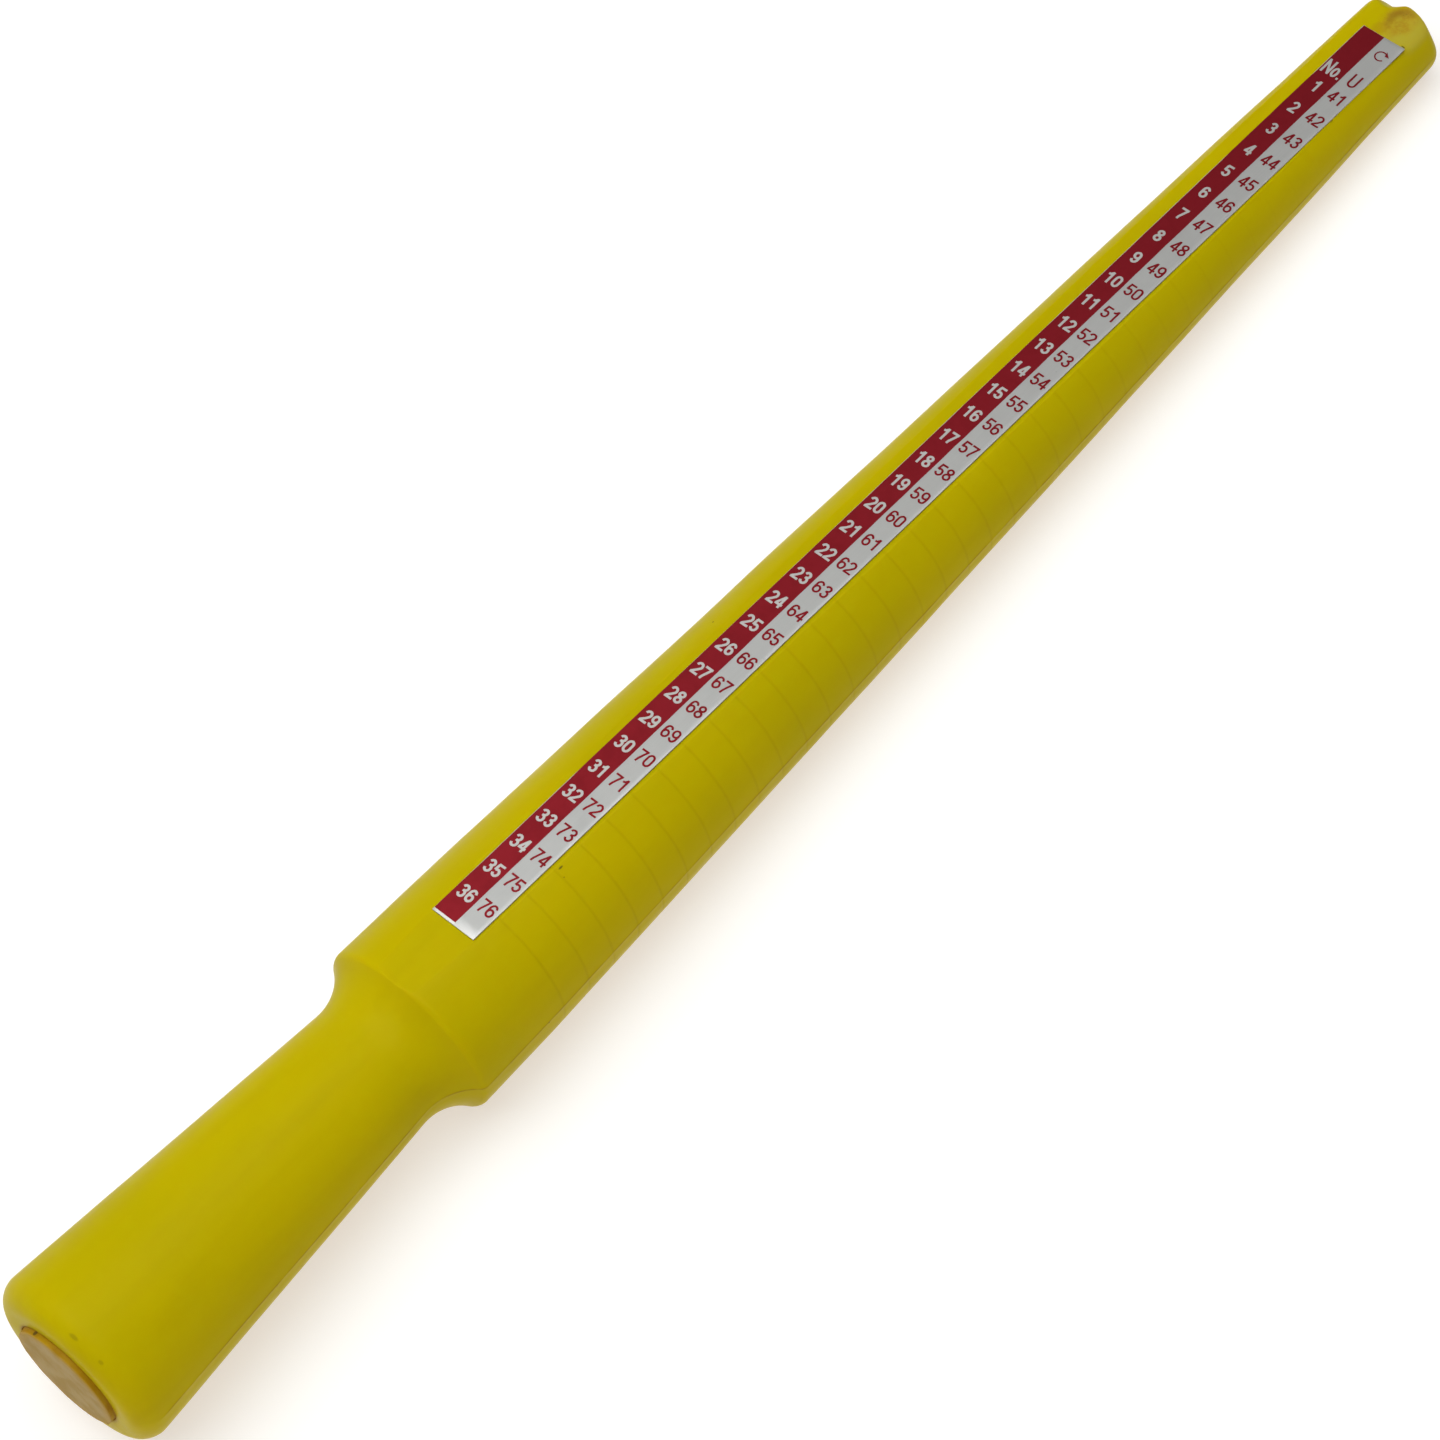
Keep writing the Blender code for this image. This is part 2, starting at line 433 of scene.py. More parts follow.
def plug_point(place, radius, angle):
    """A point of the plug: its sawn face is slightly uneven and its rim has a nick and a burr."""
    point = Vector((place, radius * math.sin(angle), radius * math.cos(angle)))
    if place > 1.0:
        return point
    saw_marks = noise.noise(Vector((point.y / 0.5, point.z / 3.0, 2.0)))
    unevenness = noise.noise(point / 2.6) * 0.05 + saw_marks * 0.018
    point.x += abs(unevenness) * smooth_step(radius, 0.0, 1.0)
    nick = bump_at((point - NICK_CENTRE).length, NICK_REACH)
    point.x += 0.3 * nick
    outwards = Vector((0.0, math.sin(angle), math.cos(angle)))
    point -= outwards * 0.2 * nick
    burr = bump_at((point - BURR_CENTRE).length, BURR_REACH)
    point += Vector((-0.05, 0.0, 0.0)) * burr + outwards * 0.22 * burr
    ripple = noise.noise(Vector((math.cos(angle), math.sin(angle), 0.3)) * 2.4)
    point += outwards * 0.05 * ripple * smooth_step(radius, PLUG_RADIUS - 0.6, PLUG_RADIUS)
    return point


def make_plug(made_of, axes):
    """The plug. Behind its face it widens until it almost touches the hole, so the crevice is shallow."""
    outline = [(0.0, 0.35)]
    outline += rounded((0.0, PLUG_RADIUS), (0.0, 0.0), (PLUG_LENGTH, PLUG_RADIUS), PLUG_EDGE, 4)
    outline = filled(outline, 0.3)
    pressed = PLUG_RADIUS + PLUG_GAP - 0.01
    outline += [
        (0.6, PLUG_RADIUS),
        (0.74, PLUG_RADIUS),
        (0.88, pressed),
        (PLUG_LENGTH - PLUG_NOSE_TAPER, pressed),
        (PLUG_LENGTH - 0.1, PLUG_RADIUS - 0.7),
        (PLUG_LENGTH, PLUG_RADIUS - 0.85),
        (PLUG_LENGTH, 0.4),
    ]
    turns = [2 * math.pi * step / AROUND_PLUG for step in range(AROUND_PLUG)]
    rings = [[Vector((0.02, 0.0, 0.0))]]
    rings += [[plug_point(place, radius, angle) for angle in turns] for place, radius in outline]
    rings += [[Vector((PLUG_LENGTH, 0.0, 0.0))]]
    shape = skin(rings, AROUND_PLUG)
    plug = piece_from("sawn_plug", shape, made_of, "end_plug", axes)
    finish_shading(plug, 60)


# --- Strip, tape and print ---


def strip_lift(along, across):
    """How far the strip stands off its tape: its right corner at the tip has come up."""
    from_tip = STRIP_LENGTH / 2 - along
    from_right = STRIP_WIDTH / 2 + across
    corner = max(0.0, 1 - from_tip / 2.2 - from_right / 2.0)
    return 0.08 * corner ** 1.6


def slab(length, width, bottom, top, rough_edge, seed):
    """A thin closed plate in the strip's axes that follows the strip's lift."""
    draw = random.Random(seed)
    shape = bmesh.new()
    edge = SLAB_EDGE
    count = int(length / SLAB_STATION_SPACING)
    stations = [-length / 2, -length / 2 + edge]
    stations += [-length / 2 + length * step / count for step in range(1, count)]
    stations += [length / 2 - 1.0, length / 2 - 0.5, length / 2 - edge, length / 2]
    lanes = [-width / 2, -width / 2 + edge]
    lanes += [-width / 2 + width * step / SLAB_LANES for step in range(1, SLAB_LANES)]
    lanes += [width / 2 - edge, width / 2]
    uppers = []
    lowers = []
    for along in stations:
        left_shift = draw.uniform(-rough_edge, rough_edge)
        right_shift = draw.uniform(-rough_edge, rough_edge)
        upper = []
        lower = []
        for across in lanes:
            shifted = across
            if across > width / 2 - 2 * edge:
                shifted += left_shift
            if across < -width / 2 + 2 * edge:
                shifted += right_shift
            lift = strip_lift(along, shifted)
            at_rim = across in (lanes[0], lanes[-1]) or along in (stations[0], stations[-1])
            droop = SLAB_DROOP if at_rim else 0.0
            upper.append(shape.verts.new((along, shifted, top + lift - droop)))
            lower.append(shape.verts.new((along, shifted, bottom + lift)))
        uppers.append(upper)
        lowers.append(lower)
    join_grid(shape, uppers, False)
    join_grid(shape, lowers, True)
    join_rim(shape, outer_loop(uppers), outer_loop(lowers))
    bmesh.ops.recalc_face_normals(shape, faces=shape.faces)
    return shape


def join_grid(shape, rows, downwards):
    for row, below in zip(rows, rows[1:]):
        for column in range(len(row) - 1):
            corners = [row[column], below[column], below[column + 1], row[column + 1]]
            shape.faces.new(reversed(corners) if downwards else corners)


def outer_loop(rows):
    """The points round a grid's edge, in order."""
    loop = list(rows[0])
    loop += [row[-1] for row in rows[1:]]
    loop += list(reversed(rows[-1]))[1:]
    loop += [row[0] for row in reversed(rows)][1:-1]
    return loop


def join_rim(shape, upper, lower):
    for index in range(len(upper)):
        after = (index + 1) % len(upper)
        shape.faces.new((upper[index], upper[after], lower[after], lower[index]))


def arc(centre, radii, start, end, steps=10):
    """Points of an ellipse's arc, from one angle in degrees to another."""
    points = []
    for step in range(steps + 1):
        angle = math.radians(start + (end - start) * step / steps)
        x = centre[0] + radii[0] * math.cos(angle)
        y = centre[1] + radii[1] * math.sin(angle)
        points.append((x, y))
    return points


def digit_strokes(character, wide, thick):
    """A character's strokes as centre lines in a cell of that width and a height of 1."""
    left = thick / 2
    right = wide - thick / 2
    low = thick / 2
    high = 1 - thick / 2
    centre = wide / 2
    half = (right - left) / 2
    if character == "0":
        top = arc((centre, high - 0.25), (half, 0.25), 0, 180)
        bottom = arc((centre, low + 0.25), (half, 0.25), 180, 360)
        return [top + bottom + top[:2]]
    if character == "1":
        stem = wide * 0.62
        flag = [(wide * 0.12, 0.74), (wide * 0.36, 0.76), (stem - 0.01, 0.95)]
        return [[(stem, 0.0), (stem, 1.0)], flag]
    if character == "2":
        bowl = arc((centre, high - 0.23), (half, 0.23), 172, -25)
        sweep = [(centre + 0.02, 0.36), (left + 0.03, 0.16), (left, low - 0.02)]
        return [bowl + sweep, [(0.0, low), (wide, low)]]
    if character == "3":
        upper = arc((centre, high - 0.19), (half * 0.92, 0.19), 168, -90)
        lower = arc((centre, low + 0.215), (half, 0.235), 90, -168)
        return [upper, lower, [(centre - 0.07, 0.525), (centre + 0.04, 0.525)]]
    if character == "4":
        stem = wide * 0.70
        return [
            [(stem, 0.0), (stem, 1.0)],
            [(0.0, 0.28), (wide, 0.28)],
            [(stem - thick * 0.1, 0.97), (thick * 0.48, 0.30)],
        ]
    if character == "5":
        bowl = arc((centre, 0.325), (half, 0.325 - thick / 2), 140, -165)
        bar = [(wide * 0.12, high), (wide * 0.96, high)]
        return [bar, [(wide * 0.23, high), (wide * 0.15, 0.47)], bowl]
    if character == "6":
        bowl = arc((centre, 0.32), (half, 0.32 - thick / 2), 0, 380, 20)
        back = arc((centre, high - 0.27), (half, 0.27), 18, 180)
        return [bowl, back + [(left, 0.3)]]
    if character == "7":
        slope = [(right, high), (wide * 0.62, 0.56), (wide * 0.42, 0.24), (wide * 0.36, 0.0)]
        return [[(0.0, high), (wide, high)], slope]
    if character == "8":
        upper = arc((centre, 0.745), (half * 0.88, 0.255 - thick / 2), 0, 380, 20)
        lower = arc((centre, 0.285), (half, 0.285 - thick / 2), 0, 380, 20)
        return [upper, lower]
    if character == "9":
        turned = digit_strokes("6", wide, thick)
        return [[(wide - x, 1 - y) for x, y in stroke] for stroke in turned]
    if character == "N":
        stems = [[(left, 0.0), (left, 1.0)], [(right, 0.0), (right, 1.0)]]
        return stems + [[(left, 0.95), (right, 0.05)]]
    if character == "o":
        return [arc((centre, 0.36), (half, 0.36 - thick / 2), 0, 380, 16)]
    if character == ".":
        return [[(centre, 0.0), (centre, thick * 1.15)]]
    bowl = arc((centre, low + half), (half, half), 180, 360)
    return [[(left, 1.0)] + bowl + [(right, 1.0)]]


def is_convex(outline):
    """Whether a closed outline turns one way at every corner, so that it doesn't cross itself."""
    turns = []
    for index, point in enumerate(outline):
        before = outline[index - 1]
        after = outline[(index + 1) % len(outline)]
        one = (point[0] - before[0], point[1] - before[1])
        other = (after[0] - point[0], after[1] - point[1])
        turns.append(one[0] * other[1] - one[1] * other[0])
    return all(turn > 0 for turn in turns) or all(turn < 0 for turn in turns)


def stroke_quads(line, thick):
    """A centre line as a row of quads of that thickness, mitred where the line turns gently."""
    points = [Vector(point) for point in line]
    headings = [(after - point).normalized() for point, after in zip(points, points[1:])]
    normals = [Vector((-heading.y, heading.x)) * thick / 2 for heading in headings]
    quads = []
    for index, normal in enumerate(normals):
        start = points[index]
        end = points[index + 1]
        last = index == len(normals) - 1
        at_start = mitre(normals[index - 1], normal) if index else normal
        at_end = normal if last else mitre(normal, normals[index + 1])
        quad = [start + at_start, start - at_start, end - at_end, end + at_end]
        if not is_convex(quad):
            quad = [start + normal, start - normal, end - normal, end + normal]
        quads.append(quad)
    return quads


def mitre(one, other):
    """The offset to the corner between two stretches of a stroke, from their own sideways offsets."""
    middle = (one + other) / 2
    return middle * min(2.0, one.length_squared / max(middle.length_squared, 1e-9))


def unsteady(line, draw, most):
    """The same line with each point moved a little, as a coarse print shows it."""
    return [(x + draw.uniform(-most, most), y + draw.uniform(-most, most)) for x, y in line]


def text_quads(text, centre, height, thick, draw, gap=CHARACTER_GAP):
    """Quads of a text centred at (along, across) in the strip's axes. Its top is towards the tip."""
    digit = CHARACTER_WIDTHS["digit"]
    cells = [CHARACTER_WIDTHS.get(character, digit) for character in text]
    total = sum(cells) + gap * (len(text) - 1)
    start = -total / 2
    quads = []
    for character, wide in zip(text, cells):
        for line in digit_strokes(character, wide, thick):
            for quad in stroke_quads(unsteady(line, draw, STROKE_UNSTEADINESS), thick):
                placed = []
                for x, y in quad:
                    along = centre[0] + (y - 0.5) * height
                    across = centre[1] - (start + x) * height
                    placed.append((along, across))
                quads.append(placed)
        start += wide + gap
    return quads


def arrow_quads(centre):
    """A small clockwise arrow, the sign that numbers follow the ring's turn."""
    shapes = stroke_quads(arc((0.0, 0.0), (0.76, 0.78), -38, -296, 22), 0.21)
    shapes.append([(0.22, 1.12), (0.42, 0.26), (1.06, 0.34)])
    return [[(centre[0] + y, centre[1] - x) for x, y in shape] for shape in shapes]


def field_outline(draw):
    """The printed field's edge in the strip's axes: straight, with the small jogs of a cheap print."""
    half = STRIP_LENGTH / 2
    left = STRIP_WIDTH / 2 - FIELD_MARGIN
    right = FIELD_EDGE
    start = -half + 0.36
    end = half - 0.04
    steps = 90
    up = []
    down = []
    jog = 0.0
    for step in range(steps + 1):
        along = start + (end - start) * step / steps
        if step % 9 == 4:
            jog = draw.uniform(-0.05, 0.03)
        up.append((along, left + jog + draw.uniform(-0.015, 0.015)))
        down.append((along, right + draw.uniform(-0.02, 0.02)))
    return up + list(reversed(down))


def anticlockwise(outline):
    area = sum(a[0] * b[1] - b[0] * a[1] for a, b in zip(outline, outline[1:] + outline[:1]))
    return outline if area > 0 else list(reversed(outline))


def region(outlines, wanted):
    """A flat bmesh of the triangles for which wanted(the outlines that cover them) is true."""
    points = []
    loops = []
    for outline in outlines:
        loops.append(list(range(len(points), len(points) + len(outline))))
        points += [Vector(point) for point in anticlockwise(outline)]
    found = geometry.delaunay_2d_cdt(points, [], loops, 1, 1e-5)
    shape = bmesh.new()
    verts = [shape.verts.new((point.x, point.y, 0.0)) for point in found[0]]
    for face, sources in zip(found[2], found[5]):
        if wanted(set(sources)):
            shape.faces.new([verts[index] for index in face])
    bmesh.ops.delete(shape, geom=[v for v in shape.verts if not v.link_faces], context="VERTS")
    return shape


def printed_shapes():
    """The print as a flat bmesh: a field with the left numerals left open, and the right numerals."""
    draw = random.Random(7)
    outlines = [field_outline(draw)]
    left = FIELD_EDGE + FIELD_WIDTH / 2
    right = (FIELD_EDGE - STRIP_WIDTH / 2) / 2
    for size in range(SMALLEST_SIZE, LARGEST_SIZE + 1):
        along = mark_place(size) - STRIP_MIDDLE
        number = str(size - NUMBER_OFFSET)
        outlines += text_quads(number, (along, left), NUMERAL_HEIGHT, OPEN_STROKE, draw)
        outlines += text_quads(str(size), (along, right), NUMERAL_HEIGHT, INKED_STROKE, draw)
    heading = mark_place(SMALLEST_SIZE) + HEADING_RISE - STRIP_MIDDLE
    outlines += text_quads("No.", (heading, left), HEADING_HEIGHTS[0], HEADING_STROKES[0], draw, 0.05)
    outlines += text_quads("U", (heading, right), HEADING_HEIGHTS[1], HEADING_STROKES[1], draw)
    outlines += arrow_quads((heading + ARROW_RISE, right))
    left_open = set()
    for index, outline in enumerate(outlines[1:], start=1):
        if outline[0][1] > FIELD_EDGE:
            left_open.add(index)

    def inked(sources):
        return bool(sources) and not sources & left_open

    return region(outlines, inked)


def make_print(made_of, axes, top):
    shape = printed_shapes()
    flat = list(shape.faces)
    raised = bmesh.ops.extrude_face_region(shape, geom=flat, use_keep_orig=True)
    for item in raised["geom"]:
        if isinstance(item, bmesh.types.BMVert):
            item.co.z += INK_THICKNESS
    for point in shape.verts:
        point.co.z += top + strip_lift(point.co.x, point.co.y) - INK_SUNK
    bmesh.ops.recalc_face_normals(shape, faces=shape.faces)
    piece_from("printed_scale", shape, made_of, "scale_strip", axes)


# --- Materials ---


# Dividing the place along the mandrel by this much leaves only its distance from the axis.
AXIS_SQUASH = 1e6


def fill_in(node, values):
    """Puts constants on a node's inputs, by their names."""
    for name, value in values.items():
        node.inputs[name].default_value = value


def limits(start, end, low, high):
    """The inputs of a Map Range node."""
    return {"From Min": start, "From Max": end, "To Min": low, "To Max": high}


class Recipe:
    """A node material with short calls for what pieces share, in millimetres in a piece's axes."""

    def __init__(self, name, axes):
        self.material = bpy.data.materials.new(name)
        self.material.use_nodes = True
        self.tree = self.material.node_tree
        self.shader = self.tree.nodes["Principled BSDF"]
        coordinates = self.add("ShaderNodeTexCoord")
        in_axes = self.add("ShaderNodeMapping", vector_type="TEXTURE")
        self.join(coordinates.outputs["Object"], in_axes.inputs["Vector"])
        place = {"Location": axes.translation, "Rotation": axes.to_euler(), "Scale": (MM, MM, MM)}
        fill_in(in_axes, place)
        self.where = in_axes.outputs["Vector"]

    def add(self, kind, **settings):
        node = self.tree.nodes.new(kind)
        for key, value in settings.items():
            setattr(node, key, value)
        return node

    def join(self, output, socket):
        self.tree.links.new(output, socket)

    def give(self, value, socket):
        """Puts a number, a colour or another node's output on a socket."""
        if isinstance(value, bpy.types.NodeSocket):
            self.join(value, socket)
        elif isinstance(value, tuple) and len(value) == 3 and socket.type == "RGBA":
            socket.default_value = (*value, 1.0)
        else:
            socket.default_value = value

    def stretched(self, lengths):
        """The place divided by a length along each axis."""
        node = self.add("ShaderNodeVectorMath", operation="DIVIDE")
        self.join(self.where, node.inputs[0])
        node.inputs[1].default_value = lengths
        return node.outputs[0]

    def noise(self, length, detail=3.0, roughness=0.5, along=None, seed=0.0):
        """Noise with features of about that length, or stretched to a length on each axis."""
        node = self.add("ShaderNodeTexNoise")
        self.join(self.stretched(along or (length, length, length)), node.inputs["Vector"])
        fill_in(node, {"Scale": 1.0, "Detail": detail, "Roughness": roughness})
        if seed:
            node.noise_dimensions = "4D"
            node.inputs["W"].default_value = seed
        return node.outputs[0]

    def product(self, one, other):
        return self.math("MULTIPLY", one, other)

    def math(self, operation, one, other=0.0, third=0.0):
        node = self.add("ShaderNodeMath", operation=operation)
        for value, socket in zip((one, other, third), node.inputs):
            self.give(value, socket)
        return node.outputs[0]

    def away(self, value, centre):
        """How far a value is from the centre, either way."""
        return self.math("ABSOLUTE", self.math("SUBTRACT", value, centre))

    def span(self, value, start, end, low=0.0, high=1.0):
        """The value's smooth change from low at start to high at end."""
        node = self.add("ShaderNodeMapRange", interpolation_type="SMOOTHSTEP")
        self.join(value, node.inputs["Value"])
        fill_in(node, limits(start, end, low, high))
        return node.outputs["Result"]

    def part(self, axis):
        """The place along one of the piece's axes."""
        node = self.add("ShaderNodeSeparateXYZ")
        self.join(self.where, node.inputs[0])
        return node.outputs[axis]

    def from_axis(self):
        """The distance from the mandrel's axis."""
        node = self.add("ShaderNodeVectorMath", operation="LENGTH")
        self.join(self.stretched((AXIS_SQUASH, 1.0, 1.0)), node.inputs[0])
        return node.outputs["Value"]

    def near(self, centre, reach, lengths=(1.0, 1.0, 1.0), wobble=0.0):
        """1 at a point and 0 beyond its reach, in units of the lengths, with a ragged edge."""
        node = self.add("ShaderNodeVectorMath", operation="DISTANCE")
        self.join(self.stretched(lengths), node.inputs[0])
        node.inputs[1].default_value = tuple(c / l for c, l in zip(centre, lengths))
        distance = node.outputs["Value"]
        if wobble:
            ragged = self.noise(reach * 0.7, 4.0, 0.6)
            shift = self.math("MULTIPLY_ADD", ragged, wobble * reach, -0.5 * wobble * reach)
            distance = self.math("ADD", distance, shift)
        return self.span(distance, reach, reach * 0.45)

    def blend(self, share, one, other):
        """One colour, going over to the other as the share grows from 0 to 1."""
        node = self.add("ShaderNodeMix", data_type="RGBA")
        self.give(share, node.inputs[0])
        self.give(one, node.inputs[6])
        self.give(other, node.inputs[7])
        return node.outputs[2]

    def tint(self, colour, other, mask, strength):
        """The colour, tinted by the other where the mask is 1."""
        return self.blend(self.product(mask, strength), colour, other)

    def bump(self, height, strength, distance, base=None):
        """A bump whose height input moves the surface by that distance in millimetres."""
        node = self.add("ShaderNodeBump")
        fill_in(node, {"Strength": strength, "Distance": distance * MM})
        self.join(height, node.inputs["Height"])
        if base is not None:
            self.join(base, node.inputs["Normal"])
        return node.outputs["Normal"]

    def finish(self, colour, roughness, normal=None, **constants):
        """Fills in the shader and returns the material. The constants are named after its sockets."""
        self.give(colour, self.shader.inputs["Base Color"])
        self.give(roughness, self.shader.inputs["Roughness"])
        if normal is not None:
            self.join(normal, self.shader.inputs["Normal"])
        for name, value in constants.items():
            socket = name.replace("_", " ").title().replace("Ior", "IOR")
            fill_in(self.shader, {socket: value})
        return self.material


# Colours in linear light. The yellow plastic, from its plain colour to its stains, and the painted shade
# of its crevice and grooves.
YELLOW = (0.500, 0.388, 0.0008)
YELLOW_PATCH = (0.540, 0.410, 0.0006)
YELLOW_FLOW = (0.46, 0.340, 0.0006)
YELLOW_MOTTLE = (0.56, 0.455, 0.006)
YELLOW_SCUFF = (0.62, 0.57, 0.06)
GATE_PALE = (0.47, 0.375, 0.055)
GATE_TAN = (0.49, 0.32, 0.02)
GATE_BROWN = (0.43, 0.215, 0.010)
GATE_STREAK = (0.42, 0.24, 0.01)
GATE_RIM = (0.24, 0.105, 0.012)
GATE_CRUMBS = (0.12, 0.055, 0.015)
# Painted shade: the orange-brown of the crevice round the plug, on the hole's edge.
MOUTH_PAINTED_SHADE = (0.42, 0.24, 0.006)
SEAM_GRIME = (0.30, 0.17, 0.01)
# Painted shade: the darkening in the graduation grooves on the shaded right side.
GROOVE_PAINTED_SHADE = (0.38, 0.25, 0.001)
SPECK_DIRT = (0.07, 0.045, 0.01)

# Specks of dirt: each one's centre in the mandrel's axes, its reach along each axis, and its strength.
SPECKS = [
    ((81.9, -4.3, 11.0), (0.45, 0.16, 0.3), 0.8),
    ((81.3, -5.3, 10.6), (0.16, 0.12, 0.3), 0.5),
    ((69.3, -12.1, -0.1), (0.18, 0.3, 0.22), 0.9),
    ((119.9, 5.65, 8.8), (0.22, 0.16, 0.3), 0.75),
    ((182.6, 2.75, 6.9), (0.3, 0.16, 0.3), 0.5),
    ((228.6, -4.3, 5.0), (0.45, 0.1, 0.3), 0.45),
    ((244.35, -3.75, 4.4), (0.14, 0.42, 0.4), 0.85),
    ((2.0, -2.76, 11.4), (0.35, 0.9, 0.5), 0.3),
    ((2.1, -6.6, 9.7), (0.3, 0.5, 0.4), 0.25),
]


def moulded_yellow(make):
    """The plastic's own colour, with broad patches, lengthwise flow marks and a fine mottle."""
    broad = make.noise(26.0, 2.0, 0.45)
    flow = make.noise(1.0, 3.0, 0.55, along=(34.0, 4.0, 4.0), seed=2.0)
    mottle = make.noise(2.2, 4.0, 0.6, seed=5.0)
    colour = make.blend(make.span(broad, 0.35, 0.68), YELLOW, YELLOW_PATCH)
    colour = make.blend(make.span(flow, 0.45, 0.75, 0.0, 0.35), colour, YELLOW_FLOW)
    return make.blend(make.span(mottle, 0.5, 0.8, 0.0, 0.25), colour, YELLOW_MOTTLE)


def with_gate_stain(make, colour):
    """The torn gate's stain: a pale ground, a brown patch, a streak, a dark rim and crumbs."""
    on_flat = make.span(make.part("Z"), 3.0, 4.0)
    stain = make.noise(0.9, 5.0, 0.65, seed=9.0)
    pale = make.product(make.near((247.4, -2.6, 4.2), 4.2, (1.3, 1.0, 1.0), 0.5), on_flat)
    colour = make.tint(colour, GATE_PALE, pale, 0.6)
    torn = make.product(make.near((247.5, -0.6, 4.3), 3.0, (1.25, 0.95, 1.0), 0.7), on_flat)
    stain_colour = make.blend(make.span(stain, 0.4, 0.62), GATE_TAN, GATE_BROWN)
    colour = make.tint(colour, stain_colour, torn, 0.7)
    streak = make.near((245.0, 0.6, 4.3), 1.0, (1.6, 1.3, 1.0), 0.6)
    colour = make.tint(colour, GATE_STREAK, streak, 0.45)
    rim = make.near((247.9, -0.8, 4.3), 2.3, (1.2, 1.0, 1.0), 0.3)
    inner = make.near((247.5, -1.3, 4.3), 2.1, (1.2, 1.0, 1.0), 0.3)
    dark_rim = make.product(make.math("SUBTRACT", rim, inner), on_flat)
    colour = make.tint(colour, GATE_RIM, dark_rim, 0.65)
    crumbs = make.product(make.span(make.noise(0.35, 2.0, 0.5, seed=11.0), 0.66, 0.72), torn)
    return make.tint(colour, GATE_CRUMBS, crumbs, 0.6)


def with_mouth_tint(make, colour):
    """The hole's edge, browner than the plastic round it."""
    # Painted shade in the crevice: the hole's edge and mouth wall darkened to orange-brown, as the
    # plastic looks in shade there.
    mouth = make.span(make.from_axis(), PLUG_RADIUS + 0.75, PLUG_RADIUS + 0.2)
    mouth = make.product(mouth, make.span(make.part("X"), 4.0, 2.0))
    return make.tint(colour, MOUTH_PAINTED_SHADE, mouth, 0.7)


def with_seam_grime(make, colour):
    """Dirt that gathers unevenly along both parting lines."""
    across = make.span(make.math("ABSOLUTE", make.part("Z")), SEAM_HALF_WIDTH, 0.04)
    seam = make.product(across, make.span(make.part("X"), 3.0, 6.0))
    patchy = make.noise(1.0, 4.0, 0.6, along=(6.0, 2.0, 2.0), seed=19.0)
    grimy = make.span(patchy, 0.3, 0.6, 0.1, 0.6)
    return make.tint(colour, SEAM_GRIME, seam, grimy)


def with_groove_grime(make, colour):
    """Painted shade in the graduation grooves, on the shaded right of the scale, fading towards the tip.
    """
    from_first = make.math("SUBTRACT", make.part("X"), LARGEST_MARK - SIZE_SPACING / 2)
    spacings = make.math("DIVIDE", from_first, SIZE_SPACING)
    from_mark = make.away(make.math("FRACT", spacings), 0.5)
    in_groove = make.span(from_mark, 0.3 / SIZE_SPACING, 0.05 / SIZE_SPACING)
    last_mark = mark_place(SMALLEST_SIZE) + 1
    in_groove = make.product(in_groove, make.span(make.part("X"), last_mark + 0.5, last_mark))
    after_first = make.span(make.part("X"), LARGEST_MARK - 1.5, LARGEST_MARK - 1)
    in_groove = make.product(in_groove, after_first)
    to_right = make.span(make.part("Y"), 1.0, -6.0, 0.0, 0.22)
    to_right = make.product(to_right, make.span(make.part("X"), 225.0, 150.0, 0.15, 1.0))
    return make.tint(colour, GROOVE_PAINTED_SHADE, in_groove, to_right)


def with_specks(make, colour):
    for centre, lengths, strength in SPECKS:
        speck = make.near(centre, 1.0, lengths, 0.5)
        colour = make.tint(colour, SPECK_DIRT, speck, strength)
    return colour


def hairline_scratches(make):
    """1 along fine lengthwise scratches, in patches."""
    scratch = make.noise(1.0, 2.0, 0.5, along=(9.0, 0.12, 0.12), seed=13.0)
    hair = make.span(make.away(scratch, 0.5), 0.012, 0.0)
    patchy = make.span(make.noise(12.0, 2.0, 0.5, seed=17.0), 0.5, 0.65)
    return make.product(hair, patchy)


def yellow_plastic(axes):
    """Waxy moulded plastic, slightly uneven in colour, scuffed, stained at the torn gate, with painted
    shade at the plug's crevice and in the grooves.
    """
    make = Recipe("yellow_plastic_look", axes)
    colour = moulded_yellow(make)
    colour = with_gate_stain(make, colour)
    colour = with_mouth_tint(make, colour)
    colour = with_seam_grime(make, colour)
    colour = with_groove_grime(make, colour)
    colour = with_specks(make, colour)
    hair = hairline_scratches(make)
    colour = make.tint(colour, YELLOW_SCUFF, hair, 0.12)

    grain = make.noise(0.35, 3.0, 0.6, seed=21.0)
    peel = make.noise(1.6, 2.0, 0.5, seed=23.0)
    normal = make.bump(peel, 0.35, 0.06)
    normal = make.bump(grain, 0.25, 0.02, normal)
    normal = make.bump(hair, 0.3, 0.02, normal)
    roughness = make.span(make.noise(5.0, 4.0, 0.6, seed=31.0), 0.3, 0.7, 0.28, 0.38)
    return make.finish(
        colour,
        roughness,
        normal,
        subsurface_weight=0.3,
        subsurface_radius=(1.0, 0.6, 0.06),
        subsurface_scale=0.0022,
        specular_ior_level=0.015,
    )


# The plug's sawn face, and its side coloured orange-brown as painted shade, darker deeper down in the
# crevice.
SAWN = (0.40, 0.265, 0.075)
SAWN_CLOUD = (0.365, 0.23, 0.052)
SAWN_MARK = (0.43, 0.29, 0.10)
SAWN_GREEN = (0.33, 0.27, 0.09)
SAWN_RIM = (0.42, 0.25, 0.03)
PLUG_SIDE_SHADE = (0.44, 0.25, 0.003)
PLUG_SIDE_SHADE_CLOUD = (0.38, 0.195, 0.002)
PLUG_SIDE_DEEP_SHADE = (0.40, 0.20, 0.003)
PLUG_DIRT = (0.06, 0.035, 0.01)


